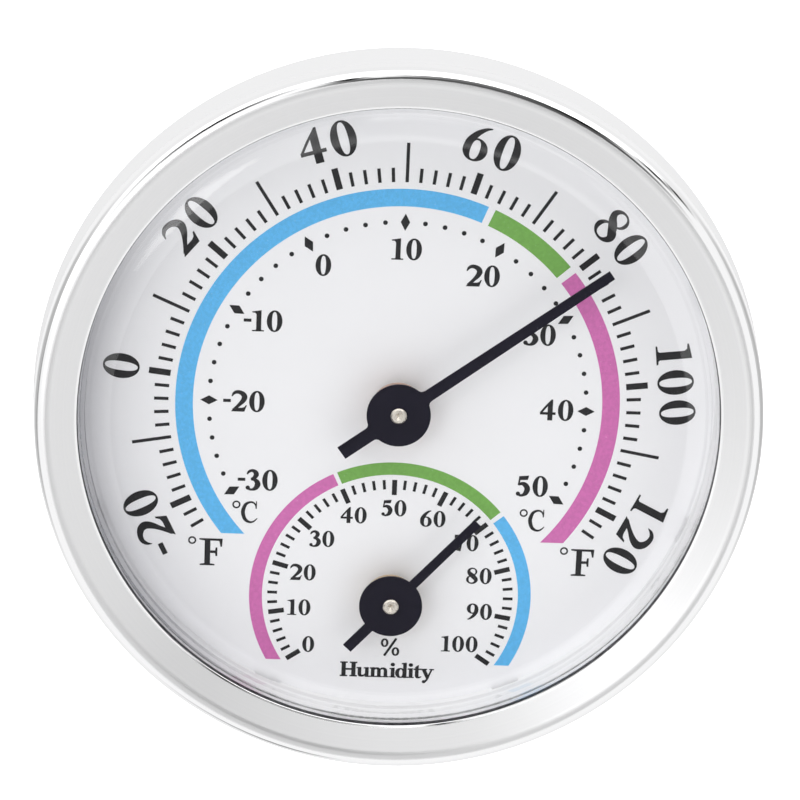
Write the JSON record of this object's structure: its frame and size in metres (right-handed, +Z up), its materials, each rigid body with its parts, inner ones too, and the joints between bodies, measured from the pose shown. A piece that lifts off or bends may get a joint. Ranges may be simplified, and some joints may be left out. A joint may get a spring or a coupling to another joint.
{
  "type": "dial hygrometer",
  "caption": "Round wall-hung dial instrument: a thermometer with Fahrenheit and Celsius scales and a smaller humidity dial, each with a spiral sensing coil turning a pointer.",
  "frame": {"origin": "centre of the keyhole slot's round upper end, on the plane of the wall (the back case's flat back)", "axes": "+Y into the wall, so the dial faces -Y; +Z up when hung; +X to the right as the dial is read"},
  "size_m": [0.1, 0.02, 0.1],
  "materials": {
    "satin_aluminium": "satin turned face, polished corners",
    "clear_lens": "clear, glossy",
    "white_silicone": "matte",
    "white_plastic": "smooth, semi-matt",
    "dial_film": "off-white printed film, semi-matt",
    "sheet_aluminium": "mill finish",
    "case_plastic": "fine moulded texture",
    "plated_steel": "zinc plated",
    "brass": "turned",
    "plated_brass": "nickel plated, turned",
    "spring_steel": "polished",
    "bimetal": "coppery strip",
    "humidity_strip": "tan coated strip",
    "black_paint": "semi-gloss black"
  },
  "bodies": {
    "case": {"bezel": "satin_aluminium", "lens": "clear_lens", "lens_gasket": "white_silicone", "spacer_ring": "white_plastic", "dial_face": "dial_film", "dial_plate": "sheet_aluminium", "back_case": "case_plastic", "case_screws": "plated_steel", "thermo_bush": "brass", "hygro_bush": "brass"},
    "thermo_movement": {"thermo_stem": "plated_brass", "thermo_spring_washer": "spring_steel", "thermo_adjuster": "brass", "thermo_coil": "bimetal"},
    "thermo_hand": {"thermo_collet": "brass", "thermo_pointer": "black_paint"},
    "hygro_movement": {"hygro_stem": "plated_brass", "hygro_spring_washer": "spring_steel", "hygro_adjuster": "brass", "hygro_coil": "humidity_strip"},
    "hygro_hand": {"hygro_collet": "brass", "hygro_pointer": "black_paint"}
  },
  "joints": [
    {"name": "thermo_adjust", "type": "hinge", "parent": "case", "child": "thermo_movement", "pos_m": [0, -0.00865, -0.03], "axis": [0, 1, 0], "range_deg": [-15, 15]},
    {"name": "thermo_turn", "type": "hinge", "parent": "thermo_movement", "child": "thermo_hand", "pos_m": [0, -0.00865, -0.03], "axis": [0, 1, 0], "range_deg": [-176.8, 69.6], "stiffness_Nm_per_rad": 0.00175, "deforming": ["thermo_coil"]},
    {"name": "hygro_adjust", "type": "hinge", "parent": "case", "child": "hygro_movement", "pos_m": [0, -0.00865, -0.05786], "axis": [0, 1, 0], "range_deg": [-15, 15]},
    {"name": "hygro_turn", "type": "hinge", "parent": "hygro_movement", "child": "hygro_hand", "pos_m": [0, -0.00865, -0.05786], "axis": [0, 1, 0], "range_deg": [-166.7, 81.5], "stiffness_Nm_per_rad": 0.0005, "deforming": ["hygro_coil"]}
  ]
}
